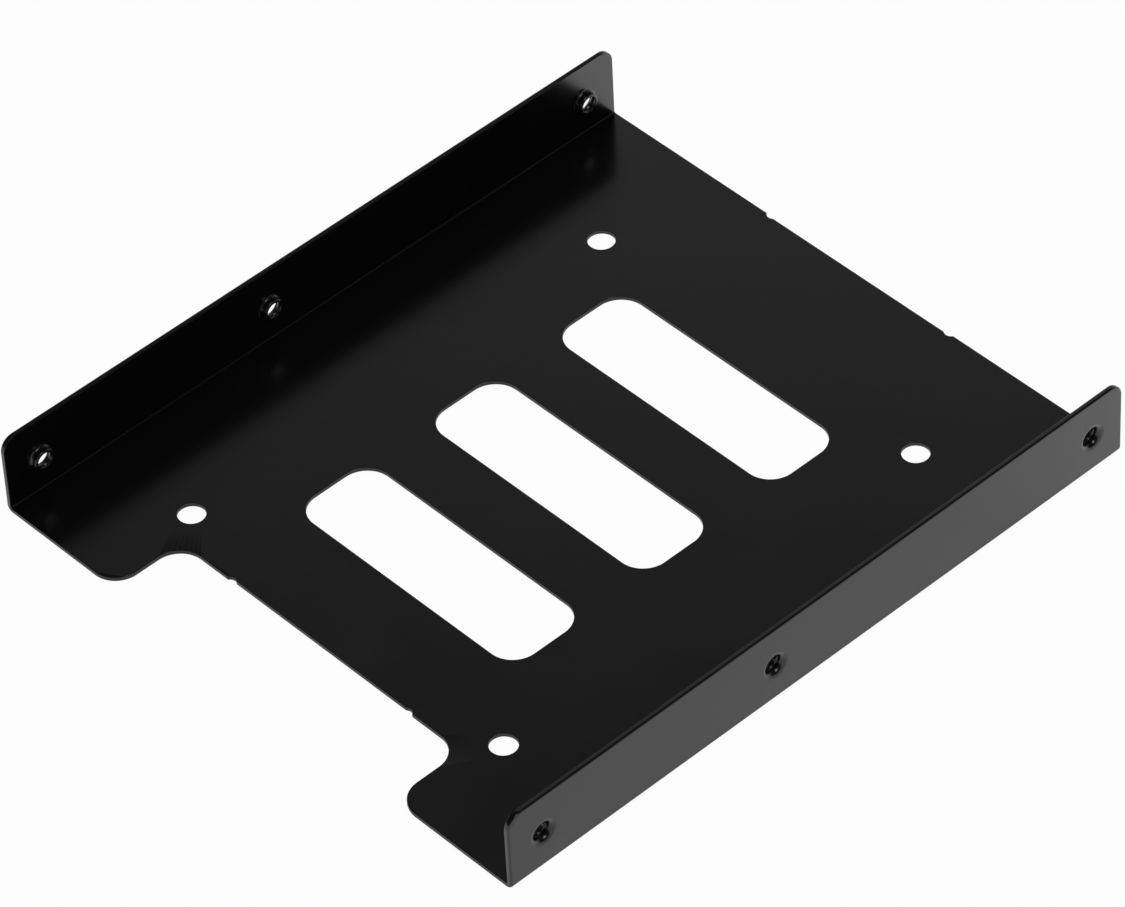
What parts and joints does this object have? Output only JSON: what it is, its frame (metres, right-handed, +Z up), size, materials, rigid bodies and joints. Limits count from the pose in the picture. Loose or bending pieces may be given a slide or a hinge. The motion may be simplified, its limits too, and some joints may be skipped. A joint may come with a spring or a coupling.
{
  "type": "drive bay adapter bracket",
  "caption": "Shallow tray folded from black coated sheet steel: upturned side flanges bolt into a wide drive bay, and a small drive screws down on the slotted plate.",
  "frame": {"origin": "on the underside of the plate, in the middle of the overall width and length", "axes": "+X across the plate to the right flange, +Y along the flanges to the straight back edge (the recessed edge is the front), +Z up, the way the flanges stand"},
  "size_m": [0.1, 0.1134, 0.013],
  "materials": {
    "black_coated_steel": "satin black powder coat"
  },
  "bodies": {
    "root": {"adapter_bracket": "black_coated_steel"}
  },
  "joints": []
}
